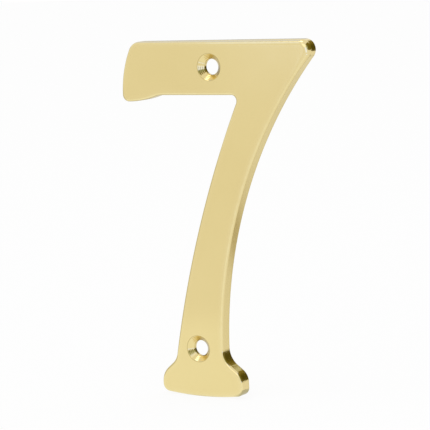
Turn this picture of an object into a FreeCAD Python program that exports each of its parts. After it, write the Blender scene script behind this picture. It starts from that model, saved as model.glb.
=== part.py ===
import FreeCAD, Part
import math
import os
import Sketcher

# A door number, the figure seven, cast in brass as one piece.
# X is to the reader's right, Z is up, and the back plane, which lies on the door, is Y = 0.
# The front faces -Y. The origin is the lowest point of the foot, on the back plane.
# Sizes are in millimetres, angles in degrees.
sizes = {
    "height": 75.0,  # lowest point of the foot to the top edge
    "thickness": 3.0,  # back plane to front face
    "edge_round": 0.6,  # rounding along the front edge
    "bar_depth": 11.25,  # top edge to the straight underside of the bar
    "bar_reach": 16.8,  # middle of the foot to the serif's left end
    "top_right_round": 2.2,  # corner where the top edge meets the right edge
    "top_left_round": 3.0,  # corner where the top edge meets the bar's left end
    "end_bow": 22.0,  # radius of the bar's bowed left end
    "serif_drop": 1.35,  # how far the serif hangs below the bar's underside
    "serif_tip_round": 1.5,  # corner at the serif's tip
    "serif_under_bow": 21.5,  # radius of the serif's full underside
    "serif_sweep": 5.0,  # radius of the hollow where the serif runs into the bar
    "crook_right": 12.0,  # middle of the foot to the stem's left edge, at the bar's underside
    "crook_round": 1.2,  # inside corner between the bar and the stem
    "left_bow": 224.0,  # radius of the stem's left edge
    "right_sweep": 95.0,  # radius of the stem's right edge
    "neck_right": 5.5,  # middle of the foot to the stem's right edge, where its sweep stands upright
    "neck_height": 9.4,  # base to that place
    "ankle_left": 6.1,  # middle of the foot to the stem's left edge, at the ankle
    "ankle_height": 8.6,  # base to the ankle
    "foot_width": 19.9,  # across the foot
    "base_bow": 70.0,  # radius of the foot's slightly full base
    "foot_corner": 1.7,  # lower corners of the foot
    "right_shoulder_round": 3.2,  # upper corner of the foot, right
    "right_shoulder_height": 3.3,  # base to that corner's centre
    "right_slope_angle": 36.0,  # rise of the foot's top toward the stem, right
    "right_instep_round": 4.5,  # hollow between the stem and the foot, right
    "left_shoulder_round": 4.0,  # upper corner of the foot, left
    "left_shoulder_height": 2.6,  # base to that corner's centre
    "left_slope_angle": 40.6,  # rise of the foot's top toward the stem, left
    "left_instep_round": 3.5,  # hollow between the stem and the foot, left
    "web": 1.9,  # metal left between the front face and the relieved back
    "rim": 2.0,  # width of the back rim that lies on the door
    "foot_rim": 3.5,  # width of that rim at the base
    "relief_round": 1.2,  # corners of the relieved back
    "hole_width": 3.3,  # screw holes, clear of the screw's shank
    "sink_width": 5.6,  # countersinks, across the front face
    "sink_angle": 90.0,  # countersinks, full angle
    "top_hole_drop": 5.45,  # top edge to the upper hole
    "top_hole_right": 5.2,  # middle of the foot to the upper hole
    "low_hole_height": 10.25,  # base to the lower hole
    "low_hole_left": 0.45,  # middle of the foot to the lower hole
}

doc = FreeCAD.newDocument("door_number")
sheet = doc.addObject("Spreadsheet::Sheet", "sizes")
for row, (alias, value) in enumerate(sizes.items(), start=1):
    sheet.set(f"A{row}", alias.replace("_", " "))
    sheet.set(f"B{row}", str(value))
    sheet.setAlias(f"B{row}", alias)
doc.recompute()

body = doc.addObject("PartDesign::Body", "numeral_seven")
body.Label = "numeral_seven"
start_end, finish_end, middle = range(1, 4)  # how a sketch numbers the points of a curve
origin = (-1, start_end)
facing = FreeCAD.Vector(0, 0, 1)
same = 1e-6  # places closer than this are one place


def size(alias):
    return float(sheet.get(alias))


def at(x, z):
    return FreeCAD.Vector(x, z, 0)


def toward(point, goal, distance):
    """The point at a distance from one point, on the way to another."""
    return point + (goal - point).normalize() * distance


def leg(hypotenuse, other):
    return math.sqrt(hypotenuse**2 - other**2)


def heading(degrees):
    """A step of length one, turned anticlockwise from X."""
    turn = math.radians(degrees)
    return at(math.cos(turn), math.sin(turn))


def crossings(point, step, centre, radius):
    """Where a line through a point crosses a circle, in the order that the step meets them."""
    along = (centre - point).dot(step)
    half = leg(radius, (centre - point - step * along).Length)
    return point + step * (along - half), point + step * (along + half)


def angle(centre, point):
    return math.atan2(point.y - centre.y, point.x - centre.x)


def arc(centre, begin, end):
    """The arc that turns anticlockwise from one point to another."""
    circle = Part.Circle(centre, facing, (begin - centre).Length)
    return Part.ArcOfCircle(circle, angle(centre, begin), angle(centre, end))


def plane_sketch(name):
    """An empty sketch on the back plane: its x is X, its y is Z, and it faces the reader."""
    sketch = body.newObject("Sketcher::SketchObject", name)
    plane = next(item for item in body.Origin.OriginFeatures if item.Role == "XZ_Plane")
    sketch.AttachmentSupport = [(plane, "")]
    sketch.MapMode = "FlatFace"
    return sketch


def bind(sketch, constraint, expression):
    index = sketch.addConstraint(constraint)
    sketch.setExpression(f"Constraints[{index}]", expression)


def place_x(sketch, geometry, point, expression):
    x = sketch.getPoint(geometry, point).x
    bind(sketch, Sketcher.Constraint("DistanceX", *origin, geometry, point, x), expression)


def place_z(sketch, geometry, point, expression):
    z = sketch.getPoint(geometry, point).y
    bind(sketch, Sketcher.Constraint("DistanceY", *origin, geometry, point, z), expression)


def set_radius(sketch, geometry, expression):
    radius = sketch.Geometry[geometry].Radius
    bind(sketch, Sketcher.Constraint("Radius", geometry, radius), expression)


def set_heading(sketch, geometry, expression):
    line = sketch.Geometry[geometry]
    bind(sketch, Sketcher.Constraint("Angle", geometry, angle(line.StartPoint, line.EndPoint)), expression)


def draw_outline(sketch):
    """The figure's outline, anticlockwise from the base, with every join tangent."""
    half_foot = size("foot_width") / 2
    top_z = size("height")
    under_z = top_z - size("bar_depth")
    tip_z = under_z - size("serif_drop")
    end_x = -size("bar_reach")

    # centres of the foot's arcs
    base = at(0, size("base_bow"))
    corner_x = half_foot - size("foot_corner")
    corner_z = base.y - leg(size("base_bow") - size("foot_corner"), corner_x)
    right_corner = at(corner_x, corner_z)
    left_corner = at(-corner_x, corner_z)
    right_shoulder = at(half_foot - size("right_shoulder_round"), size("right_shoulder_height"))
    left_shoulder = at(size("left_shoulder_round") - half_foot, size("left_shoulder_height"))

    # centres of the stem's right edge and its upper end
    right_edge = at(size("neck_right") + size("right_sweep"), size("neck_height"))
    top_right_z = top_z - size("top_right_round")
    top_right_run = leg(size("right_sweep") + size("top_right_round"), top_right_z - right_edge.y)
    top_right = at(right_edge.x - top_right_run, top_right_z)

    # centres of the stem's left edge, bowed to the left through the crook and the ankle, and its upper end
    crook_point = at(size("crook_right"), under_z)
    ankle_point = at(-size("ankle_left"), size("ankle_height"))
    chord = crook_point - ankle_point
    bow_side = at(chord.y, -chord.x).normalize()
    left_edge = ankle_point + chord / 2 + bow_side * leg(size("left_bow"), chord.Length / 2)
    crook_z = under_z - size("crook_round")
    crook = at(left_edge.x - leg(size("left_bow") + size("crook_round"), crook_z - left_edge.y), crook_z)

    # the slopes from the foot's shoulders up to the insteps, where they turn into the stem's edges
    right_away = heading(90 - size("right_slope_angle"))
    right_slope_low = right_shoulder + right_away * size("right_shoulder_round")
    right_instep = crossings(
        right_slope_low + right_away * size("right_instep_round"),
        heading(180 - size("right_slope_angle")),
        right_edge,
        size("right_sweep") - size("right_instep_round"),
    )[-1]
    right_slope_high = right_instep - right_away * size("right_instep_round")
    left_away = heading(90 + size("left_slope_angle"))
    left_slope_low = left_shoulder + left_away * size("left_shoulder_round")
    left_instep = crossings(
        left_slope_low + left_away * size("left_instep_round"),
        heading(size("left_slope_angle")),
        left_edge,
        size("left_bow") + size("left_instep_round"),
    )[0]
    left_slope_high = left_instep - left_away * size("left_instep_round")

    # centres of the bar's left end and its serif
    tip = at(end_x + size("serif_tip_round"), tip_z + size("serif_tip_round"))
    serif_under = at(tip.x, tip_z + size("serif_under_bow"))
    sweep_z = under_z - size("serif_sweep")
    sweep_run = leg(size("serif_under_bow") + size("serif_sweep"), sweep_z - serif_under.y)
    serif_sweep = at(tip.x + sweep_run, sweep_z)
    bar_end = at(end_x + size("end_bow"), tip.y)
    top_left_z = top_z - size("top_left_round")
    top_left_run = leg(size("end_bow") - size("top_left_round"), top_left_z - bar_end.y)
    top_left = at(bar_end.x - top_left_run, top_left_z)

    # where the longer arcs end
    neck = toward(right_edge, right_instep, size("right_sweep"))
    right_top = toward(right_edge, top_right, size("right_sweep"))
    serif_turn = toward(serif_under, serif_sweep, size("serif_under_bow"))

    # each stretch: its name, the point where it ends, its form, and for an arc its centre and its size
    line, full, hollow = "line", "full", "hollow"
    stretches = [
        ("base", toward(base, right_corner, size("base_bow")), full, base, "base_bow"),
        ("right_corner", at(half_foot, corner_z), full, right_corner, "foot_corner"),
        ("right_side", at(half_foot, right_shoulder.y), line, None, None),
        ("right_shoulder", right_slope_low, full, right_shoulder, "right_shoulder_round"),
        ("right_slope", right_slope_high, line, None, None),
        ("right_instep", neck, hollow, right_instep, "right_instep_round"),
        ("right_edge", right_top, hollow, right_edge, "right_sweep"),
        ("top_right", at(top_right.x, top_z), full, top_right, "top_right_round"),
        ("top", at(top_left.x, top_z), line, None, None),
        ("top_left", toward(bar_end, top_left, size("end_bow")), full, top_left, "top_left_round"),
        ("bar_end", at(end_x, tip.y), full, bar_end, "end_bow"),
        ("tip", at(tip.x, tip_z), full, tip, "serif_tip_round"),
        ("serif_under", serif_turn, full, serif_under, "serif_under_bow"),
        ("serif_sweep", at(serif_sweep.x, under_z), hollow, serif_sweep, "serif_sweep"),
        ("underside", at(crook.x, under_z), line, None, None),
        ("crook", toward(left_edge, crook, size("left_bow")), hollow, crook, "crook_round"),
        ("left_edge", toward(left_edge, left_instep, size("left_bow")), full, left_edge, "left_bow"),
        ("left_instep", left_slope_high, hollow, left_instep, "left_instep_round"),
        ("left_slope", left_slope_low, line, None, None),
        ("left_shoulder", at(-half_foot, left_shoulder.y), full, left_shoulder, "left_shoulder_round"),
        ("left_side", at(-half_foot, corner_z), line, None, None),
        ("left_corner", toward(base, left_corner, size("base_bow")), full, left_corner, "foot_corner"),
    ]

    number = {}
    begin = stretches[-1][1]
    for name, end, form, centre, alias in stretches:
        if form == line:
            curve = Part.LineSegment(begin, end)
        elif form == full:
            curve = arc(centre, begin, end)
        else:
            curve = arc(centre, end, begin)
        number[name] = sketch.addGeometry(curve)
        begin = end
    crook_mark = sketch.addGeometry(Part.Point(crook_point), True)
    ankle_mark = sketch.addGeometry(Part.Point(ankle_point), True)

    for before, after in zip(stretches[-1:] + stretches[:-1], stretches):
        leaving = start_end if before[2] == hollow else finish_end
        arriving = finish_end if after[2] == hollow else start_end
        ends = (number[before[0]], leaving, number[after[0]], arriving)
        sketch.addConstraint(Sketcher.Constraint("Tangent", *ends))
    for name, end, form, centre, alias in stretches:
        if form != line:
            set_radius(sketch, number[name], f"sizes.{alias}")

    for name in ("right_side", "left_side"):
        sketch.addConstraint(Sketcher.Constraint("Vertical", number[name]))
    for name in ("top", "underside"):
        sketch.addConstraint(Sketcher.Constraint("Horizontal", number[name]))
    for mark in (crook_mark, ankle_mark):
        sketch.addConstraint(Sketcher.Constraint("PointOnObject", mark, start_end, number["left_edge"]))
    upright_axis = -2
    sketch.addConstraint(Sketcher.Constraint("PointOnObject", number["base"], middle, upright_axis))

    under = "sizes.height - sizes.bar_depth"
    tip_height = f"{under} - sizes.serif_drop + sizes.serif_tip_round"
    place_z(sketch, number["base"], middle, "sizes.base_bow")
    place_x(sketch, number["right_side"], start_end, "sizes.foot_width / 2")
    place_x(sketch, number["left_side"], start_end, "-sizes.foot_width / 2")
    place_z(sketch, number["right_shoulder"], middle, "sizes.right_shoulder_height")
    place_z(sketch, number["left_shoulder"], middle, "sizes.left_shoulder_height")
    set_heading(sketch, number["right_slope"], "180 - sizes.right_slope_angle")
    set_heading(sketch, number["left_slope"], "sizes.left_slope_angle - 180")
    place_x(sketch, number["right_edge"], middle, "sizes.neck_right + sizes.right_sweep")
    place_z(sketch, number["right_edge"], middle, "sizes.neck_height")
    place_z(sketch, number["top"], start_end, "sizes.height")
    place_z(sketch, number["underside"], start_end, under)
    place_x(sketch, crook_mark, start_end, "sizes.crook_right")
    place_z(sketch, crook_mark, start_end, under)
    place_x(sketch, ankle_mark, start_end, "-sizes.ankle_left")
    place_z(sketch, ankle_mark, start_end, "sizes.ankle_height")
    place_x(sketch, number["tip"], middle, "sizes.serif_tip_round - sizes.bar_reach")
    place_z(sketch, number["tip"], middle, tip_height)
    place_x(sketch, number["serif_under"], middle, "sizes.serif_tip_round - sizes.bar_reach")
    place_z(sketch, number["bar_end"], middle, tip_height)
    return number


def draw_relief(sketch, outline, number):
    """The relieved back: the figure set in by the rim, without the serif and the foot's spread."""
    set_in = {
        "right_edge": size("right_sweep") + size("rim"),
        "left_edge": size("left_bow") - size("rim"),
        "bar_end": size("end_bow") - size("rim"),
    }
    centre = {name: outline.getPoint(number[name], middle) for name in set_in}
    top_z = size("height") - size("rim")
    under_z = size("height") - size("bar_depth") + size("rim")

    def crossing(name, z):
        return at(centre[name].x - leg(set_in[name], z - centre[name].y), z)

    low_left = crossing("left_edge", size("foot_rim"))
    low_right = crossing("right_edge", size("foot_rim"))
    high_right = crossing("right_edge", top_z)
    high_left = crossing("bar_end", top_z)
    under_left = crossing("bar_end", under_z)
    under_right = crossing("left_edge", under_z)
    low = sketch.addGeometry(Part.LineSegment(low_left, low_right))
    right = sketch.addGeometry(arc(centre["right_edge"], high_right, low_right))
    high = sketch.addGeometry(Part.LineSegment(high_right, high_left))
    end = sketch.addGeometry(arc(centre["bar_end"], high_left, under_left))
    under = sketch.addGeometry(Part.LineSegment(under_left, under_right))
    left = sketch.addGeometry(arc(centre["left_edge"], under_right, low_left))

    joins = [
        (low, finish_end, right, finish_end),
        (right, start_end, high, start_end),
        (high, finish_end, end, start_end),
        (end, finish_end, under, start_end),
        (under, finish_end, left, start_end),
        (left, finish_end, low, start_end),
    ]
    for join in joins:
        sketch.addConstraint(Sketcher.Constraint("Coincident", *join))
    for straight in (low, high, under):
        sketch.addConstraint(Sketcher.Constraint("Horizontal", straight))
    place_z(sketch, low, start_end, "sizes.foot_rim")
    place_z(sketch, high, start_end, "sizes.height - sizes.rim")
    place_z(sketch, under, start_end, "sizes.height - sizes.bar_depth + sizes.rim")
    followed = [("right_edge", right), ("left_edge", left), ("bar_end", end)]
    for borrowed, (name, inside) in enumerate(followed, start=3):
        sketch.addExternal(outline.Name, f"Edge{number[name] + 1}")
        same_centre = (inside, middle, -borrowed, middle)
        sketch.addConstraint(Sketcher.Constraint("Coincident", *same_centre))
    set_radius(sketch, right, "sizes.right_sweep + sizes.rim")
    set_radius(sketch, left, "sizes.left_bow - sizes.rim")
    set_radius(sketch, end, "sizes.end_bow - sizes.rim")


def draw_holes(sketch):
    """The two screw holes, on the front face."""
    spots = [
        (at(size("top_hole_right"), size("height") - size("top_hole_drop")),
         "sizes.top_hole_right", "sizes.height - sizes.top_hole_drop"),
        (at(-size("low_hole_left"), size("low_hole_height")),
         "-sizes.low_hole_left", "sizes.low_hole_height"),
    ]
    for spot, across, up in spots:
        hole = sketch.addGeometry(Part.Circle(spot, facing, size("hole_width") / 2))
        set_radius(sketch, hole, "sizes.hole_width / 2")
        place_x(sketch, hole, middle, across)
        place_z(sketch, hole, middle, up)


def faces_at(shape, depth):
    """Names of the flat faces that lie at one depth behind or in front of the back plane."""
    names = []
    for index, face in enumerate(shape.Faces, start=1):
        box = face.BoundBox
        if max(abs(box.YMin - depth), abs(box.YMax - depth)) < same:
            names.append(f"Face{index}")
    return names


# The blank: the outline at full thickness, with its front edge rounded.
outline = plane_sketch("outline")
outline_number = draw_outline(outline)
doc.recompute()
blank = body.newObject("PartDesign::Pad", "blank")
blank.Profile = outline
blank.setExpression("Length", "sizes.thickness")
doc.recompute()
front_edge = body.newObject("PartDesign::Fillet", "front_edge")
front_edge.Base = (blank, faces_at(blank.Shape, -size("thickness")))
front_edge.setExpression("Radius", "sizes.edge_round")
doc.recompute()

# The relieved back, cut from the back plane to the web, with rounded corners.
relief_outline = plane_sketch("relief_outline")
draw_relief(relief_outline, outline, outline_number)
doc.recompute()
relief = body.newObject("PartDesign::Pocket", "relief")
relief.Profile = relief_outline
relief.Reversed = True
relief.setExpression("Length", "sizes.thickness - sizes.web")
doc.recompute()
relief_corners = body.newObject("PartDesign::Fillet", "relief_corners")
floor_depth = size("web") - size("thickness")
corner_names = []
for index, edge in enumerate(relief.Shape.Edges, start=1):
    span = edge.BoundBox
    straight_in = max(span.XLength, span.ZLength) < same
    if straight_in and abs(span.YMin - floor_depth) < same and abs(span.YMax) < same:
        corner_names.append(f"Edge{index}")
relief_corners.Base = (relief, corner_names)
relief_corners.setExpression("Radius", "sizes.relief_round")
doc.recompute()

# The countersunk screw holes, drilled from the front face.
hole_spots = plane_sketch("hole_spots")
hole_spots.setExpression("AttachmentOffset.Base.z", "sizes.thickness")
draw_holes(hole_spots)
doc.recompute()
screw_holes = body.newObject("PartDesign::Hole", "screw_holes")
screw_holes.Profile = hole_spots
doc.recompute()
screw_holes.ThreadType = "None"
screw_holes.DepthType = "ThroughAll"
screw_holes.HoleCutType = "Countersink"
screw_holes.HoleCutCustomValues = True
screw_holes.setExpression("Diameter", "sizes.hole_width")
screw_holes.setExpression("HoleCutDiameter", "sizes.sink_width")
screw_holes.setExpression("HoleCutCountersinkAngle", "sizes.sink_angle")
doc.recompute()

# Every feature has to be sound, and each cut has to take metal away, before anything is written.
for item in doc.Objects:
    if "Invalid" in item.State or "Error" in item.State:
        raise RuntimeError(f"{item.Name} failed: {item.State}")
for sketch in (outline, relief_outline, hole_spots):
    if sketch.solve() != 0:
        raise RuntimeError(f"{sketch.Name} does not solve")
steps = [blank, front_edge, relief, relief_corners, screw_holes]
for step in steps:
    if step.Shape.isNull() or not step.Shape.isValid():
        raise RuntimeError(f"{step.Name} has no sound shape")
if not front_edge.Shape.Volume < blank.Shape.Volume:
    raise RuntimeError("the front edge is not rounded")
if not screw_holes.Shape.Volume < relief.Shape.Volume < front_edge.Shape.Volume:
    raise RuntimeError("the relief or the screw holes took no metal away")

os.makedirs("parts", exist_ok=True)
body.Shape.exportStep(f"parts/{body.Label}.step")
print(f"{body.Label}: {body.Shape.Volume:.1f} cubic mm, {len(body.Shape.Faces)} faces")
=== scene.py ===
import bmesh
import bpy
import math
from mathutils import Matrix, Vector
from mathutils.geometry import delaunay_2d_cdt


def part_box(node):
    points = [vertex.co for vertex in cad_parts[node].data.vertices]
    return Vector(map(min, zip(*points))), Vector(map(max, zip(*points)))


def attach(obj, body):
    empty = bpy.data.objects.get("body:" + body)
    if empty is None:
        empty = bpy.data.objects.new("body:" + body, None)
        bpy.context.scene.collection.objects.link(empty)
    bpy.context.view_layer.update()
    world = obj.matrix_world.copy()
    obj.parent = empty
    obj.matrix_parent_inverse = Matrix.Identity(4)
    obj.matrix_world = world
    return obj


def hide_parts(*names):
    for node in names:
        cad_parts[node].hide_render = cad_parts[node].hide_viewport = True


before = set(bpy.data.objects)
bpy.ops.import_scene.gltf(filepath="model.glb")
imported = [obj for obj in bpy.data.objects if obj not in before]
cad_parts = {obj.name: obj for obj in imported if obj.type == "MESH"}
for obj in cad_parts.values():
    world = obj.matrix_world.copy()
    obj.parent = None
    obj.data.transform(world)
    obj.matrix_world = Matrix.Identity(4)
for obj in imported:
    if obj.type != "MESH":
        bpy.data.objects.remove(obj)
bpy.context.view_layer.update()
mm = 0.001
samePoint = 1e-4  # mm; points nearer than this are one

# the figure, in mm and degrees; height, thickness and reach to the left come from the frame
lowCorner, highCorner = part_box("numeral_seven")
numeralSeven = {
    "name": "brassSeven",
    "height": highCorner.z / mm,
    "thickness": (highCorner.y - lowCorner.y) / mm,
    "barReach": -lowCorner.x / mm,  # middle of the foot to the serif's left end
    "edgeRound": 0.6,  # front edge
    "edgeSteps": 10,  # points round it
    "buffedRound": 1.35,  # the same edge at the top right corner, worn by the buffing wheel
    "buffFacing": 25.0,  # which way that corner faces where it is most worn, up from the right
    "buffReach": 7.0,  # mm along which it goes back to the plain round
    "backEdgeRound": 0.15,
    "backEdgeSteps": 4,
    "faceMargin": 0.7,  # plain strips beside the rounds keep the shading of the flats even
    "frontWallMargin": 0.5,
    "backWallMargin": 0.7,
    "backMargin": 0.5,
    "barDepth": 11.25,
    "topRightRound": 2.2,
    "topLeftRound": 3.0,
    "endBow": 22.0,  # bowed left end of the bar
    "serifDrop": 1.35,
    "serifTipRound": 1.5,
    "serifUnderBow": 21.5,
    "serifSweep": 5.0,
    "crookRight": 12.0,  # left edge of the stem where it meets the bar
    "crookRound": 1.2,
    "leftBow": 224.0,
    "rightSweep": 95.0,
    "neckRight": 5.5,  # where the right sweep stands upright
    "neckHeight": 9.4,
    "ankleLeft": 6.1,
    "ankleHeight": 8.6,
    "footWidth": 19.9,
    "baseBow": 70.0,
    "footCorner": 1.7,
    "rightShoulderRound": 3.2,
    "rightShoulderHeight": 3.3,
    "rightSlope": 36.0,
    "rightInstepRound": 4.5,
    "leftShoulderRound": 4.0,
    "leftShoulderHeight": 2.6,
    "leftSlope": 40.6,
    "leftInstepRound": 3.5,
    "arcTurn": 3.0,  # degrees between points on a tight arc
    "arcRun": 1.2,  # mm between points on a long one
}

screwHoles = {
    "spots": ((5.2, 69.55), (-0.45, 10.25)),
    "boreWidth": 3.3,
    "sinkWidth": 5.6,
    "sinkTilt": 45.0,  # half the countersink's angle
    "rimRound": 0.16,  # polished-over lip of the countersink
    "rimSteps": 5,
    "rimFade": 0.04,  # width over which its painted shade line ends on the face
    "throatRound": 0.1,
    "throatSteps": 3,
    "backRound": 0.08,
    "backSteps": 3,
    "faceMargin": 0.5,
    "backMargin": 0.3,
    "facets": 96,
    "grooves": 4,  # rings left by the countersinking tool
    "grooveTilt": 6.0,  # how far their sides lean
    "grooveSteps": 8,  # points across each
}

backRelief = {
    "web": 1.9,
    "rim": 2.0,
    "footRim": 3.5,
    "cornerRound": 1.2,
    "lipRound": 0.2,
    "lipSteps": 4,
    "lipMargin": 0.3,
    "floorFillet": 0.35,
    "filletSteps": 5,
    "floorMargin": 0.4,
}

# how worn, how darkened by painted shade and dulled, how rough from the mould or freshly cut the surface is,
# from 0 to 1, and where the painted rim shade line runs
flatMarks = {
    "polished": {},
    "backRim": {"castSkin": 0.35},
    "hollowFloor": {"castSkin": 1.0, "paintedShadeAndDulling": 0.4},
    "holeFloor": {"castSkin": 1.0, "paintedShadeAndDulling": 0.6},
    "sinkCone": {"toolMarks": 1.0},
}
roundMarks = {  # t runs from 0 to 1 along the round
    "frontEdge": lambda t: {"edgeWear": 1 - 0.8 * abs(2 * t - 0.9) ** 1.5},  # most just before the middle
    "backEdge": lambda t: {"paintedShadeAndDulling": 0.5, "edgeWear": 0.4},
    "lip": lambda t: {"castSkin": 0.4 + 0.6 * t, "edgeWear": 0.5 - 0.5 * t},
    "floorFillet": lambda t: {"castSkin": 1.0, "paintedShadeAndDulling": 1.0},
    "holeBack": lambda t: {"castSkin": 1 - t, "paintedShadeAndDulling": 0.6},
    "throat": lambda t: {"paintedShadeAndDulling": 0.8},
    # painted shade: a dark line round the countersink's rim
    "sinkRim": lambda t: {"paintedRimShade": 1.0},
}
markNames = ("edgeWear", "paintedShadeAndDulling", "castSkin", "toolMarks", "paintedRimShade")


def spot(x, z):
    return Vector((x, z))


def leg(longSide, otherLeg):
    return math.sqrt(longSide**2 - otherLeg**2)


def ray(degrees):
    return Vector((math.cos(math.radians(degrees)), math.sin(math.radians(degrees))))


def headingTo(start, goal):
    return math.degrees(math.atan2(goal.y - start.y, goal.x - start.x))


def crossings(point, step, centre, radius):
    along = (centre - point).dot(step)
    half = leg(radius, (centre - point - step * along).length)
    return point + step * (along - half), point + step * (along + half)


# An arc is (centre, radius, facing at its start, facing at its end); facing is the way the edge looks,
# and a hollow arc has a radius below zero, so a point is always centre + radius * ray(facing).
def figureCentres(s):
    half = s["footWidth"] / 2
    under = s["height"] - s["barDepth"]
    c = {}
    c["base"] = spot(0, s["baseBow"])
    cornerX = half - s["footCorner"]
    cornerZ = s["baseBow"] - leg(s["baseBow"] - s["footCorner"], cornerX)
    c["rightCorner"] = spot(cornerX, cornerZ)
    c["leftCorner"] = spot(-cornerX, cornerZ)
    c["rightShoulder"] = spot(half - s["rightShoulderRound"], s["rightShoulderHeight"])
    c["leftShoulder"] = spot(s["leftShoulderRound"] - half, s["leftShoulderHeight"])

    c["rightEdge"] = spot(s["neckRight"] + s["rightSweep"], s["neckHeight"])
    rise = s["height"] - s["topRightRound"]
    run = leg(s["rightSweep"] + s["topRightRound"], rise - s["neckHeight"])
    c["topRight"] = spot(c["rightEdge"].x - run, rise)

    crookPoint = spot(s["crookRight"], under)
    anklePoint = spot(-s["ankleLeft"], s["ankleHeight"])
    chord = crookPoint - anklePoint
    bowSide = spot(chord.y, -chord.x).normalized()
    c["leftEdge"] = anklePoint + chord / 2 + bowSide * leg(s["leftBow"], chord.length / 2)
    rise = under - s["crookRound"]
    run = leg(s["leftBow"] + s["crookRound"], rise - c["leftEdge"].y)
    c["crook"] = spot(c["leftEdge"].x - run, rise)

    rightFacing = ray(90 - s["rightSlope"])
    rail = c["rightShoulder"] + rightFacing * (s["rightShoulderRound"] + s["rightInstepRound"])
    inside = s["rightSweep"] - s["rightInstepRound"]
    c["rightInstep"] = crossings(rail, ray(180 - s["rightSlope"]), c["rightEdge"], inside)[1]
    leftFacing = ray(90 + s["leftSlope"])
    rail = c["leftShoulder"] + leftFacing * (s["leftShoulderRound"] + s["leftInstepRound"])
    outside = s["leftBow"] + s["leftInstepRound"]
    c["leftInstep"] = crossings(rail, ray(s["leftSlope"]), c["leftEdge"], outside)[0]

    tipZ = under - s["serifDrop"]
    c["tip"] = spot(s["serifTipRound"] - s["barReach"], tipZ + s["serifTipRound"])
    c["serifUnder"] = spot(c["tip"].x, tipZ + s["serifUnderBow"])
    rise = under - s["serifSweep"]
    run = leg(s["serifUnderBow"] + s["serifSweep"], rise - c["serifUnder"].y)
    c["serifSweep"] = spot(c["tip"].x + run, rise)
    c["barEnd"] = spot(s["endBow"] - s["barReach"], c["tip"].y)
    rise = s["height"] - s["topLeftRound"]
    run = leg(s["endBow"] - s["topLeftRound"], rise - c["barEnd"].y)
    c["topLeft"] = spot(c["barEnd"].x - run, rise)
    return c


def figureArcs(s, c):
    right, up, left, down = 0, 90, 180, 270
    rightSlope, leftSlope = up - s["rightSlope"], up + s["leftSlope"]
    baseLeft = headingTo(c["base"], c["leftCorner"])
    baseRight = headingTo(c["base"], c["rightCorner"])
    neck = headingTo(c["rightInstep"], c["rightEdge"])
    rightTop = headingTo(c["topRight"], c["rightEdge"])
    endTop = headingTo(c["barEnd"], c["topLeft"])
    serifTurn = headingTo(c["serifUnder"], c["serifSweep"])
    leftTop = headingTo(c["leftEdge"], c["crook"])
    ankle = headingTo(c["leftEdge"], c["leftInstep"])
    return [
        (c["base"], s["baseBow"], baseLeft, baseRight),
        (c["rightCorner"], s["footCorner"], baseRight, right),
        (c["rightShoulder"], s["rightShoulderRound"], right, rightSlope),
        (c["rightInstep"], -s["rightInstepRound"], rightSlope, neck),
        (c["rightEdge"], -s["rightSweep"], neck, rightTop),
        (c["topRight"], s["topRightRound"], rightTop, up),
        (c["topLeft"], s["topLeftRound"], up, endTop),
        (c["barEnd"], s["endBow"], endTop, left),
        (c["tip"], s["serifTipRound"], left, down),
        (c["serifUnder"], s["serifUnderBow"], down, serifTurn),
        (c["serifSweep"], -s["serifSweep"], serifTurn, down),
        (c["crook"], -s["crookRound"], down, leftTop),
        (c["leftEdge"], s["leftBow"], leftTop, ankle),
        (c["leftInstep"], -s["leftInstepRound"], ankle, leftSlope),
        (c["leftShoulder"], s["leftShoulderRound"], leftSlope, left),
        (c["leftCorner"], s["footCorner"], left, baseLeft),
    ]


# the hollow in the back follows the figure at a rim's distance, without the serif and the foot's spread
def reliefArcs(s, c, r):
    up, down = 90, 270
    corner = r["cornerRound"]
    low, high = r["footRim"], s["height"] - r["rim"]
    under = s["height"] - s["barDepth"] + r["rim"]
    right, left, end = s["rightSweep"] + r["rim"], s["leftBow"] - r["rim"], s["endBow"] - r["rim"]

    def tuck(name, distance, z):
        return spot(c[name].x - leg(distance, z - c[name].y), z)

    lowRight = tuck("rightEdge", right + corner, low + corner)
    highRight = tuck("rightEdge", right + corner, high - corner)
    highLeft = tuck("barEnd", end - corner, high - corner)
    underLeft = tuck("barEnd", end - corner, under + corner)
    crook = tuck("leftEdge", left + corner, under - corner)
    lowLeft = tuck("leftEdge", left - corner, low + corner)
    rightLow = headingTo(lowRight, c["rightEdge"])
    rightHigh = headingTo(highRight, c["rightEdge"])
    endHigh = headingTo(c["barEnd"], highLeft)
    endLow = headingTo(c["barEnd"], underLeft)
    leftHigh = headingTo(c["leftEdge"], crook)
    leftLow = headingTo(c["leftEdge"], lowLeft)
    return [
        (lowRight, corner, down, rightLow),
        (c["rightEdge"], -right, rightLow, rightHigh),
        (highRight, corner, rightHigh, up),
        (highLeft, corner, up, endHigh),
        (c["barEnd"], end, endHigh, endLow),
        (underLeft, corner, endLow, down),
        (crook, -corner, down, leftHigh),
        (c["leftEdge"], left, leftHigh, leftLow),
        (lowLeft, corner, leftLow, down),
    ]


# points along the arcs, each with the way the edge faces there
def walkArcs(arcs, turn, run):
    path = []
    for centre, radius, start, end in arcs:
        sweep = (end - start + 180) % 360 - 180
        length = abs(radius) * math.radians(abs(sweep))
        count = math.ceil(max(abs(sweep) / turn, length / run))
        for step in range(count + 1):
            facing = start + sweep * step / count
            point = centre + radius * ray(facing)
            if not path or (point - path[-1][0]).length > samePoint:
                path.append((point, facing))
    if (path[0][0] - path[-1][0]).length < samePoint:
        path.pop()
    return path


def walkCircle(centre, radius, count):
    return [(centre + radius * ray(360 * k / count), 360 * k / count) for k in range(count)]


# A section is a list of (offset, depth, tilt, marks): offset along the facing, depth along Y, and tilt,
# the turn of the surface from facing the reader through the facing to facing the door; a tilt below zero
# turns the other way, into a hole or a hollow.
toReader, toSide, toDoor = 0, 90, 180


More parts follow.
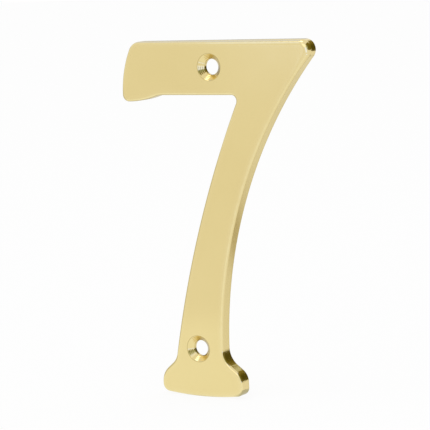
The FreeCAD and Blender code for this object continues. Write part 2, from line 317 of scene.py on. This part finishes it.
def roundCorner(offset, depth, tiltFrom, tiltTo, radius, steps, marks):
    def look(tilt):
        return Vector((math.sin(math.radians(tilt)), -math.cos(math.radians(tilt))))

    first, last = look(tiltFrom), look(tiltTo)
    centre = Vector((offset, depth)) - (first + last) * radius / (1 + first.dot(last))
    section = []
    for step in range(steps + 1):
        tilt = tiltFrom + (tiltTo - tiltFrom) * step / steps
        at = centre + look(tilt) * radius
        section.append((at.x, at.y, tilt, marks(step / steps)))
    return section


# the cone between two steps of a section, with the grooves that its tool left
def turnedCone(start, end, h):
    low, high = Vector(start[:2]), Vector(end[:2])
    lean = math.radians(h["sinkTilt"])
    outward = Vector((-math.sin(lean), -math.cos(lean)))
    slant = (high - low).length
    swing = math.tan(math.radians(h["grooveTilt"]))
    wave = 2 * math.pi * h["grooves"]
    height = swing * slant / wave
    steps = h["grooves"] * h["grooveSteps"]
    cone = []
    for step in range(1, steps):
        t = step / steps
        at = low.lerp(high, t) - outward * height * (1 - math.cos(wave * t))
        tilt = -h["sinkTilt"] - math.degrees(math.atan(swing * math.sin(wave * t)))
        cone.append((at.x, at.y, tilt, flatMarks["sinkCone"]))
    return cone


class Skin:
    def __init__(self):
        self.points, self.normals, self.faces = [], [], []
        self.marks = {name: [] for name in markNames}

    def ring(self, path, steps):
        first = len(self.points)
        for (point, facing), (offset, depth, tilt, marks) in zip(path, steps):
            sideways, forward = math.sin(math.radians(tilt)), -math.cos(math.radians(tilt))
            way = ray(facing)
            at = point + way * offset
            self.points.append(Vector((at.x, depth, at.y)) * mm)
            self.normals.append((way.x * sideways, forward, way.y * sideways))
            for name, values in self.marks.items():
                values.append(marks.get(name, 0.0))
        return range(first, len(self.points))

    def band(self, near, far):
        count = len(near)
        for k in range(count):
            following = (k + 1) % count
            self.faces.append((near[k], far[k], far[following], near[following]))

    # one section for each point of the path, all with the same number of steps
    def run(self, path, sections):
        rings = [self.ring(path, steps) for steps in zip(*sections)]
        for near, far in zip(rings, rings[1:]):
            self.band(near, far)
        return rings[0], rings[-1]

    def weave(self, flats):
        bm = bmesh.new()
        corners = [bm.verts.new(point) for point in self.points]
        for face in self.faces:
            bm.faces.new([corners[k] for k in face])
        for rings in flats:
            for face in self.flat(rings):
                bm.faces.new([corners[k] for k in face])
        bmesh.ops.recalc_face_normals(bm, faces=bm.faces)
        return bm

    # triangles over a flat's rings, kept where they lie inside the outer ring and outside the holes
    def flat(self, rings):
        order = [k for ring in rings for k in ring]
        place = {k: number for number, k in enumerate(order)}
        spots = [spot(self.points[k].x, self.points[k].z) / mm for k in order]
        sides = []
        for ring in rings:
            sides += [(place[a], place[b]) for a, b in zip(ring, [*ring[1:], ring[0]])]

        def inside(at):
            crossed = 0
            for a, b in sides:
                low, high = spots[a], spots[b]
                if (low.y > at.y) != (high.y > at.y):
                    reach = low.x + (high.x - low.x) * (at.y - low.y) / (high.y - low.y)
                    crossed += at.x < reach
            return crossed % 2 == 1

        everyTriangle, weldWithin = 0, 1e-7
        woven = delaunay_2d_cdt(spots, sides, [], everyTriangle, weldWithin)
        triangles, sources = woven[2], woven[3]
        kept = []
        for triangle in triangles:
            corners = [sources[k][0] for k in triangle]
            if inside(sum((spots[k] for k in corners), spot(0, 0)) / 3):
                kept.append([order[k] for k in corners])
        return kept


def buildSeven(s, h, r):
    skin = Skin()
    front, back = -s["thickness"], 0.0
    floor = front + r["web"]
    plain = flatMarks["polished"]
    centres = figureCentres(s)
    outline = walkArcs(figureArcs(s, centres), s["arcTurn"], s["arcRun"])

    # outside: front face, rounded front edge, wall, back plane
    corner = centres["topRight"] + s["topRightRound"] * ray(s["buffFacing"])
    backRound, backSteps = s["backEdgeRound"], s["backEdgeSteps"]

    def outside(point):
        near = max(0, 1 - ((point - corner).length / s["buffReach"]) ** 2) ** 2
        edge = s["edgeRound"] + (s["buffedRound"] - s["edgeRound"]) * near
        section = [(-edge - s["faceMargin"], front, toReader, plain)]
        section += roundCorner(0, front, toReader, toSide, edge, s["edgeSteps"], roundMarks["frontEdge"])
        section += [(0, front + edge + s["frontWallMargin"], toSide, plain)]
        section += [(0, back - s["backWallMargin"], toSide, plain)]
        section += roundCorner(0, back, toSide, toDoor, backRound, backSteps, roundMarks["backEdge"])
        section += [(-backRound - s["backMargin"], back, toDoor, flatMarks["backRim"])]
        return section

    frontRing, backRing = skin.run(outline, [outside(point) for point, facing in outline])

    # hollow back: lip, wall, floor
    relief = walkArcs(reliefArcs(s, centres, r), s["arcTurn"], s["arcRun"])
    lip, fillet = r["lipRound"], r["floorFillet"]
    section = [(lip + r["lipMargin"], back, -toDoor, flatMarks["backRim"])]
    section += roundCorner(0, back, -toDoor, -toSide, lip, r["lipSteps"], roundMarks["lip"])
    section += roundCorner(0, floor, -toSide, -toDoor, -fillet, r["filletSteps"], roundMarks["floorFillet"])
    section += [(-fillet - r["floorMargin"], floor, -toDoor, flatMarks["hollowFloor"])]
    lipRing, floorRing = skin.run(relief, [section] * len(relief))

    # screw holes, from the hollow back to the front face
    bore, sink = h["boreWidth"] / 2, h["sinkWidth"] / 2
    throat = front + (sink - bore) / math.tan(math.radians(h["sinkTilt"]))
    lean, rimOffset = -h["sinkTilt"], sink - bore
    section = [(h["backRound"] + h["backMargin"], floor, -toDoor, flatMarks["holeFloor"])]
    section += roundCorner(0, floor, -toDoor, -toSide, h["backRound"], h["backSteps"], roundMarks["holeBack"])
    section += roundCorner(0, throat, -toSide, lean, h["throatRound"], h["throatSteps"], roundMarks["throat"])
    rim = roundCorner(rimOffset, front, lean, toReader, h["rimRound"], h["rimSteps"], roundMarks["sinkRim"])
    section += turnedCone(section[-1], rim[0], h)
    section += rim
    section += [(rim[-1][0] + h["rimFade"], front, toReader, plain)]
    section += [(rimOffset + h["rimRound"] + h["faceMargin"], front, toReader, plain)]
    frontHoles, floorHoles = [], []
    for x, z in h["spots"]:
        circle = walkCircle(spot(x, z), bore, h["facets"])
        floorHole, frontHole = skin.run(circle, [section] * len(circle))
        frontHoles.append(frontHole)
        floorHoles.append(floorHole)

    mesh = bpy.data.meshes.new(s["name"])
    bm = skin.weave([[frontRing, *frontHoles], [backRing, lipRing], [floorRing, *floorHoles]])
    bm.to_mesh(mesh)
    bm.free()
    for name, values in skin.marks.items():
        mesh.attributes.new(name, "FLOAT", "POINT").data.foreach_set("value", values)
    mesh.polygons.foreach_set("use_smooth", [True] * len(mesh.polygons))
    mesh.normals_split_custom_set_from_vertices(skin.normals)
    print("brass seven:", len(mesh.vertices), "points,", len(mesh.polygons), "faces")
    return addObject(s["name"], mesh)


def addObject(name, data):
    thing = bpy.data.objects.new(name, data)
    bpy.context.scene.collection.objects.link(thing)
    return thing


# short forms for nodes; a value is a number, a colour or another node's output
def newMaterial(name):
    material = bpy.data.materials.new(name)
    material.use_nodes = True
    return material, material.node_tree


def addNode(tree, kind, **settings):
    node = tree.nodes.new(kind)
    for key, value in settings.items():
        setattr(node, key, value)
    return node


def feed(tree, socket, value):
    if isinstance(value, bpy.types.NodeSocket):
        tree.links.new(value, socket)
    elif isinstance(value, tuple):
        socket.default_value = (*value, 1.0)
    else:
        socket.default_value = value


def reckon(tree, operation, *values):
    node = addNode(tree, "ShaderNodeMath", operation=operation)
    for socket, value in zip(node.inputs, values):
        feed(tree, socket, value)
    return node.outputs["Value"]


# span is (low, high, what low becomes, what high becomes)
def spread(tree, value, span, curve="LINEAR"):
    node = addNode(tree, "ShaderNodeMapRange", interpolation_type=curve)
    feed(tree, node.inputs["Value"], value)
    for name, number in zip(("From Min", "From Max", "To Min", "To Max"), span):
        node.inputs[name].default_value = number
    return node.outputs["Result"]


def blend(tree, amount, first, second):
    firstColour, secondColour, result = 6, 7, 2  # a Mix node's sockets for colours
    node = addNode(tree, "ShaderNodeMix", data_type="RGBA")
    feed(tree, node.inputs["Factor"], amount)
    feed(tree, node.inputs[firstColour], first)
    feed(tree, node.inputs[secondColour], second)
    return node.outputs[result]


def mixToSurface(tree, share, first, second):
    node = addNode(tree, "ShaderNodeMixShader")
    feed(tree, node.inputs["Fac"], share)
    feed(tree, node.inputs[1], first)
    feed(tree, node.inputs[2], second)
    tree.links.new(node.outputs["Shader"], tree.nodes["Material Output"].inputs["Surface"])


# brass: polished face with a fine upright grain, bright worn edges, painted shade with a duller gloss in the
# hollows and along the back edge, a painted shade line round the countersinks, cast skin at the back
brassFinish = {
    "polished": (0.775, 0.637, 0.303),
    "deep": (0.752, 0.613, 0.284),
    "worn": (0.80, 0.68, 0.36),
    # painted shade: colour of the dark line round the countersinks' rims
    "rim": (0.46, 0.35, 0.13),
    # painted shade colour for the hollows, the fillet, the throats and the back edge
    "paintedShadeBrown": (0.50, 0.38, 0.13),
    "cast": (0.56, 0.44, 0.20),
    "rimShadeShare": 0.6,  # how far the painted rim shade and the painted shade of the hollows cover the brass
    "paintedShadeShare": 0.6,
    "roughness": 0.15,
    "cutRoughness": 0.08,  # the countersinks, bright from the cutter
    "castRoughness": 0.46,
    "wornGloss": 0.03,  # what wear takes off the roughness
    "shelterDulling": 0.1,
    "grainStretch": (5000, 5000, 260),
    "grainNoise": (1.0, 3.0, 0.5),  # noises: scale, detail, roughness
    "cloudNoise": (55.0, 3.0, 0.5),
    "mottleNoise": (900.0, 4.0, 0.6),
    "wearPatches": (0.35, 0.65, 0.45, 1.0),  # spans: noise from and to, what it becomes
    "shadeAndDullPatches": (0.3, 0.7, 0.5, 1.0),
    "deepPatches": (0.35, 0.7, 0.0, 1.0),
    "grainRoughness": (0.3, 0.7, -0.03, 0.03),
    "cloudRoughness": (0.3, 0.7, -0.02, 0.02),
    "grainHeight": 0.0000016,  # metres
    "castHeight": 0.00005,
}


def makeBrass(f):
    material, tree = newMaterial("polishedBrass")
    shader = tree.nodes["Principled BSDF"]
    shader.inputs["Metallic"].default_value = 1.0

    def noise(vector, kind):
        node = addNode(tree, "ShaderNodeTexNoise")
        tree.links.new(vector, node.inputs["Vector"])
        for name, number in zip(("Scale", "Detail", "Roughness"), kind):
            node.inputs[name].default_value = number
        return node.outputs["Fac"]

    def mark(name):
        return addNode(tree, "ShaderNodeAttribute", attribute_name=name).outputs["Fac"]

    def times(first, second):
        return reckon(tree, "MULTIPLY", first, second)

    def bump(height, distance):
        node = addNode(tree, "ShaderNodeBump")
        node.inputs["Distance"].default_value = distance
        tree.links.new(height, node.inputs["Height"])
        return node

    place = addNode(tree, "ShaderNodeTexCoord").outputs["Object"]
    grainSpace = addNode(tree, "ShaderNodeMapping")
    grainSpace.inputs["Scale"].default_value = f["grainStretch"]
    tree.links.new(place, grainSpace.inputs["Vector"])
    grain = noise(grainSpace.outputs["Vector"], f["grainNoise"])
    cloud = noise(place, f["cloudNoise"])
    mottle = noise(place, f["mottleNoise"])
    cast = mark("castSkin")
    worn = times(mark("edgeWear"), spread(tree, mottle, f["wearPatches"]))
    # painted shade in the hollows, the throats and along the back edge; it also dulls the gloss there, which
    # is real
    shadeAndDull = times(mark("paintedShadeAndDulling"), spread(tree, mottle, f["shadeAndDullPatches"]))

    colour = blend(tree, spread(tree, cloud, f["deepPatches"]), f["polished"], f["deep"])
    colour = blend(tree, worn, colour, f["worn"])
    # painted shade line round the countersinks' rims
    colour = blend(tree, times(mark("paintedRimShade"), f["rimShadeShare"]), colour, f["rim"])
    colour = blend(tree, cast, colour, f["cast"])
    colour = blend(tree, times(shadeAndDull, f["paintedShadeShare"]), colour, f["paintedShadeBrown"])
    tree.links.new(colour, shader.inputs["Base Color"])

    rough = reckon(tree, "ADD", spread(tree, cloud, f["cloudRoughness"]), f["roughness"])
    for change in (
        spread(tree, grain, f["grainRoughness"]),
        times(worn, -f["wornGloss"]),
        times(shadeAndDull, f["shelterDulling"]),
        times(cast, f["castRoughness"] - f["roughness"]),
        times(mark("toolMarks"), f["cutRoughness"] - f["roughness"]),
    ):
        rough = reckon(tree, "ADD", rough, change)
    tree.links.new(rough, shader.inputs["Roughness"])

    grainBump = bump(grain, f["grainHeight"])
    castBump = bump(times(mottle, cast), f["castHeight"])
    tree.links.new(grainBump.outputs["Normal"], castBump.inputs["Normal"])
    tree.links.new(castBump.outputs["Normal"], shader.inputs["Normal"])
    print("brass finish made")
    return material


brassSeven = buildSeven(numeralSeven, screwHoles, backRelief)
brassSeven.data.materials.append(makeBrass(brassFinish))
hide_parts("numeral_seven")
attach(brassSeven, "root")

# studio, in mm: pale floor, white surround, softboxes, and cards that only the metal sees: painted
# reflections of shade and highlights
studio = {
    "floorSize": 6000,
    "floorColour": (0.92, 0.92, 0.92),
    "floorRoughness": 0.9,
    "floorGlow": 0.9,  # share of plain white in what camera and metal see of the floor
    "ambient": 0.9,
    "cardLift": 0.02,  # step between the cards on the floor
    "toneRise": (0.1, 0.9),  # part of a card's upper half in which its tone changes
}
aim = Vector((5.18 * mm, lowCorner.y, 38.87 * mm))  # what camera, lamps and cards face


def seenStraight(tree):
    path = addNode(tree, "ShaderNodeLightPath")
    total = path.outputs["Is Camera Ray"]
    for name in ("Is Glossy Ray", "Is Transmission Ray"):
        total = reckon(tree, "MAXIMUM", total, path.outputs[name])
    return total


def makeWorld(s):
    world = bpy.data.worlds.new("whiteSurround")
    bpy.context.scene.world = world
    world.use_nodes = True
    tree = world.node_tree
    background = tree.nodes["Background"]
    background.inputs["Color"].default_value = (1, 1, 1, 1)
    strength = spread(tree, seenStraight(tree), (0.0, 1.0, s["ambient"], 1.0))
    tree.links.new(strength, background.inputs["Strength"])


def makePlate(name, width, height, material):
    x, y = width * mm / 2, height * mm / 2
    mesh = bpy.data.meshes.new(name)
    mesh.from_pydata([(-x, -y, 0), (x, -y, 0), (x, y, 0), (-x, y, 0)], [], [(0, 1, 2, 3)])
    mesh.materials.append(material)
    return addObject(name, mesh)


def makeFloor(s):
    material, tree = newMaterial("palePaper")
    paper = tree.nodes["Principled BSDF"]
    paper.inputs["Base Color"].default_value = (*s["floorColour"], 1)
    paper.inputs["Roughness"].default_value = s["floorRoughness"]
    paper.inputs["Specular IOR Level"].default_value = 0.0
    glow = addNode(tree, "ShaderNodeEmission")
    share = reckon(tree, "MULTIPLY", seenStraight(tree), s["floorGlow"])
    mixToSurface(tree, share, paper.outputs["BSDF"], glow.outputs["Emission"])
    floor = makePlate("paleFloor", s["floorSize"], s["floorSize"], material)


def direction(azimuth, rise):
    a, e = math.radians(azimuth), math.radians(rise)
    return Vector((math.sin(a) * math.cos(e), -math.cos(a) * math.cos(e), math.sin(e)))


def faceAim(thing, azimuth, rise, distance):
    away = direction(azimuth, rise)
    thing.location = aim + away * distance * mm
    thing.rotation_euler = away.to_track_quat("Z", "Y").to_euler()


# azimuth turns from the reader's side to the right, and distance is from the aim
softboxes = (
    {"name": "keySoftbox", "azimuth": 9, "rise": 32, "distance": 700,
     "width": 450, "height": 340, "power": 0.19},
    {"name": "topSoftbox", "azimuth": -42, "rise": 69, "distance": 900,
     "width": 340, "height": 340, "power": 0.5},
)


def makeSoftbox(b):
    lamp = bpy.data.lights.new(b["name"], "AREA")
    lamp.shape = "RECTANGLE"
    lamp.size, lamp.size_y = b["width"] * mm, b["height"] * mm
    lamp.energy = b["power"]
    faceAim(addObject(b["name"], lamp), b["azimuth"], b["rise"], b["distance"])


# The cards are painted reflections: hidden from the camera, they light nothing and cast no shadow, and only
# the metal reflects them. The dark and grey ones paint dark surroundings and the shade and shadow on the
# floor round the object; those brighter than white are painted highlights, glowing though they are no lamps.
# One that lies on the floor has a spot in place of a direction, and a later one lies on an earlier one. Soft
# is the share of a card over which its sides fade. Where there is a head tone, the tone changes to it in the
# upper half.
cards = (
    {"name": "darkCard", "azimuth": 160, "rise": 15, "distance": 1000, "width": 930, "height": 900,
     "soft": 0.15, "tone": (0.095, 0.08, 0.013), "headTone": (0.27, 0.215, 0.035)},
    {"name": "greyCard", "azimuth": 228, "rise": 8, "distance": 600, "width": 800, "height": 300,
     "soft": 0.4, "tone": (0.53, 0.53, 0.53), "headTone": (0.6, 0.6, 0.6)},
    # painted shade to the left, as the metal sees it
    {"name": "leftShadeCard", "azimuth": 256, "rise": -8, "distance": 100, "width": 200, "height": 80,
     "soft": 0.2, "tone": (0.72, 0.7, 0.62)},
    {"name": "leftFloorShade", "spot": (-50, 32), "width": 100, "height": 100,
     "soft": 0.3, "tone": (0.68, 0.67, 0.62)},
    {"name": "footCard", "azimuth": 146.5, "rise": -15.7, "distance": 107, "width": 60, "height": 17,
     "soft": 0.5, "tone": (0.13, 0.11, 0.025), "headTone": (0.11, 0.09, 0.015)},
    {"name": "farFloor", "spot": (377, 605), "turn": -30, "width": 500, "height": 700,
     "soft": 0.2, "tone": (0.13, 0.1, 0.02)},
    # painted shade: the object's shadow on the floor behind it, as the metal sees it
    {"name": "rearShade", "spot": (35, 90), "width": 200, "height": 140,
     "soft": 0.5, "tone": (0.93, 0.93, 0.9)},
    {"name": "duskBand", "spot": (44, 74), "width": 90, "height": 15,
     "soft": 0.8, "tone": (0.45, 0.38, 0.2)},
    {"name": "contactShade", "spot": (0, 1), "width": 28, "height": 14,
     "soft": 0.2, "tone": (0.65, 0.65, 0.62)},
    {"name": "slopeGlow", "azimuth": 171.5, "rise": -31, "distance": 31, "width": 1.7, "height": 8,
     "soft": 0.5, "tone": (0.95, 1.0, 0.85)},
    {"name": "footGlow", "spot": (-22, -40), "width": 200, "height": 100,
     "soft": 0.3, "tone": (1.07, 1.09, 1.11)},
    {"name": "cornerShade", "spot": (11.5, -0.5), "width": 9, "height": 10,
     "soft": 0.6, "tone": (0.6, 0.63, 0.66)},
    {"name": "dimCard", "azimuth": 52, "rise": 22, "distance": 500, "width": 220, "height": 330,
     "soft": 0.3, "tone": (0.42, 0.46, 0.32)},
    {"name": "sideCard", "azimuth": 97, "rise": 27, "distance": 950, "width": 1700, "height": 1450,
     "soft": 0.12, "tone": (0.17, 0.14, 0.02), "headTone": (0.25, 0.2, 0.04)},
    {"name": "topShade", "azimuth": -105, "rise": 52, "distance": 850, "width": 700, "height": 450,
     "soft": 0.3, "tone": (0.85, 0.93, 1.35)},
    # painted highlights: cream cards brighter than white, glowing though they are no lamps
    {"name": "topCreamHighlight", "azimuth": -34, "rise": 53, "distance": 120, "width": 36, "height": 32,
     "soft": 0.5, "tone": (1.15, 1.3, 1.9)},
    {"name": "highCreamHighlight", "azimuth": 54, "rise": 33, "distance": 54, "width": 22, "height": 34,
     "soft": 0.4, "tone": (1.12, 1.28, 2.0)},
    {"name": "lowCreamHighlight", "azimuth": 57, "rise": -19.5, "distance": 96, "width": 50, "height": 18,
     "soft": 0.4, "tone": (1.12, 1.28, 2.0)},
    {"name": "barGlow", "azimuth": -27.8, "rise": 1.1, "distance": 585, "width": 60, "height": 50,
     "soft": 0.6, "tone": (1.1, 1.16, 1.45)},
)


def makeCard(c, lift, toneRise):
    card = makePlate(c["name"], c["width"], c["height"], cardMaterial(c, toneRise))
    if "spot" in c:
        card.location = Vector((*c["spot"], lift)) * mm
        card.rotation_euler.z = math.radians(c.get("turn", 0))
    else:
        faceAim(card, c["azimuth"], c["rise"], c["distance"])
    for rays in ("camera", "diffuse", "shadow", "transmission"):
        setattr(card, "visible_" + rays, False)


def cardMaterial(c, toneRise):
    material, tree = newMaterial(c["name"])
    place = addNode(tree, "ShaderNodeTexCoord")
    split = addNode(tree, "ShaderNodeSeparateXYZ")
    tree.links.new(place.outputs["Object"], split.inputs["Vector"])
    halves = {"X": c["width"] * mm / 2, "Y": c["height"] * mm / 2}
    sides = []
    for axis, reach in halves.items():
        outward = reckon(tree, "ABSOLUTE", split.outputs[axis])
        sides.append(spread(tree, outward, (reach * (1 - c["soft"]), reach, 1.0, 0.0), "SMOOTHSTEP"))
    tone = c["tone"]
    if "headTone" in c:
        start, end = (share * halves["Y"] for share in toneRise)
        climb = spread(tree, split.outputs["Y"], (start, end, 0.0, 1.0), "SMOOTHSTEP")
        tone = blend(tree, climb, c["tone"], c["headTone"])
    glow = addNode(tree, "ShaderNodeEmission")
    feed(tree, glow.inputs["Color"], tone)
    clear = addNode(tree, "ShaderNodeBsdfTransparent")
    cover = reckon(tree, "MULTIPLY", *sides)
    mixToSurface(tree, cover, clear.outputs["BSDF"], glow.outputs["Emission"])
    return material


makeWorld(studio)
makeFloor(studio)
for softbox in softboxes:
    makeSoftbox(softbox)
for order, card in enumerate(cards, start=1):
    makeCard(card, studio["cardLift"] * order, studio["toneRise"])
print("studio set:", len(softboxes), "softboxes,", len(cards), "cards")

# camera at the photograph's angle
viewpoint = {
    "azimuth": 32.4,
    "rise": 7.29,
    "roll": -2.55,
    "distance": 435.7,
    "lens": 175.8,
    "sensor": 36.0,
}


def makeCamera(v):
    data = bpy.data.cameras.new("photoCamera")
    data.lens, data.sensor_width = v["lens"], v["sensor"]
    camera = addObject("photoCamera", data)
    away = direction(v["azimuth"], v["rise"])
    turn = math.radians(v["azimuth"])
    across = Vector((math.cos(turn), math.sin(turn), 0))
    upward = away.cross(across)
    level = Matrix((across, upward, away)).transposed()
    rolled = level @ Matrix.Rotation(math.radians(v["roll"]), 3, "Z")
    camera.matrix_world = Matrix.Translation(aim + away * v["distance"] * mm) @ rolled.to_4x4()
    bpy.context.scene.camera = camera


makeCamera(viewpoint)
bpy.context.scene.view_settings.view_transform = "Standard"
print("camera set")
